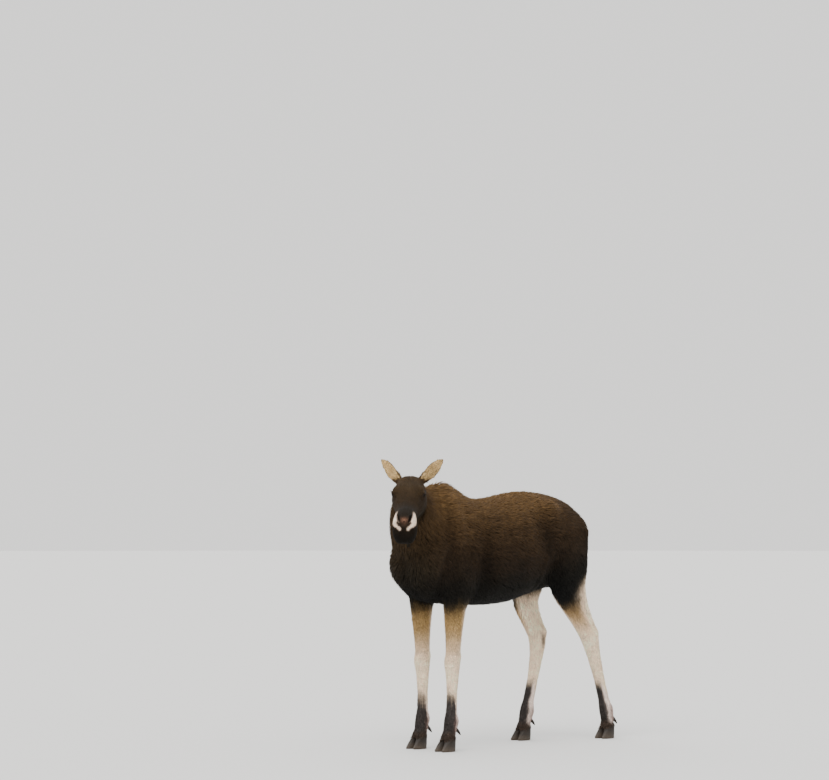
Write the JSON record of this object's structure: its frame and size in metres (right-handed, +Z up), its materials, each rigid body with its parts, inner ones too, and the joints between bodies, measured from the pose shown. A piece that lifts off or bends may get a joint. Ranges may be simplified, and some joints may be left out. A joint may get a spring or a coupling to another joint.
{
  "type": "moose",
  "caption": "Life-size standing cow moose in mid-step with its head turned to its left, a sloping muzzle, long pale legs and a small bell under the throat.",
  "frame": {"origin": "bottom centre of the bounding box, on the floor plane that the hooves stand on", "axes": "+Z up; the animal heads along -Y, its own left side is +X and its head turns towards +X"},
  "size_m": [0.8528, 2.4766, 1.9237],
  "materials": {
    "brown_coat": "coarse dark brown winter coat with paler tips along the back",
    "dark_coat": "near-black coarse coat of the lower flank, thighs and chin",
    "pale_coat": "short pale grey-white leg coat",
    "tan_coat": "short tan coat of the ears",
    "hoof_horn": "worn dark horn",
    "eye": "wet and dark"
  },
  "bodies": {
    "root": {"trunk": "brown_coat", "neck": "brown_coat", "head": "brown_coat", "lower_jaw": "dark_coat", "dewlap": "dark_coat", "tail": "dark_coat", "ear_left": "tan_coat", "ear_right": "tan_coat", "eye_left": "eye", "eye_right": "eye", "forearm_fore_left": "dark_coat", "shank_fore_left": "pale_coat", "pastern_fore_left": "pale_coat", "hoof_fore_left_outer": "hoof_horn", "dewclaw_fore_left_outer": "hoof_horn", "hoof_fore_left_inner": "hoof_horn", "dewclaw_fore_left_inner": "hoof_horn", "forearm_fore_right": "dark_coat", "shank_fore_right": "pale_coat", "pastern_fore_right": "pale_coat", "hoof_fore_right_outer": "hoof_horn", "dewclaw_fore_right_outer": "hoof_horn", "hoof_fore_right_inner": "hoof_horn", "dewclaw_fore_right_inner": "hoof_horn", "thigh_hind_left": "dark_coat", "shank_hind_left": "pale_coat", "pastern_hind_left": "pale_coat", "hoof_hind_left_outer": "hoof_horn", "dewclaw_hind_left_outer": "hoof_horn", "hoof_hind_left_inner": "hoof_horn", "dewclaw_hind_left_inner": "hoof_horn", "thigh_hind_right": "dark_coat", "shank_hind_right": "pale_coat", "pastern_hind_right": "pale_coat", "hoof_hind_right_outer": "hoof_horn", "dewclaw_hind_right_outer": "hoof_horn", "hoof_hind_right_inner": "hoof_horn", "dewclaw_hind_right_inner": "hoof_horn"}
  },
  "joints": []
}
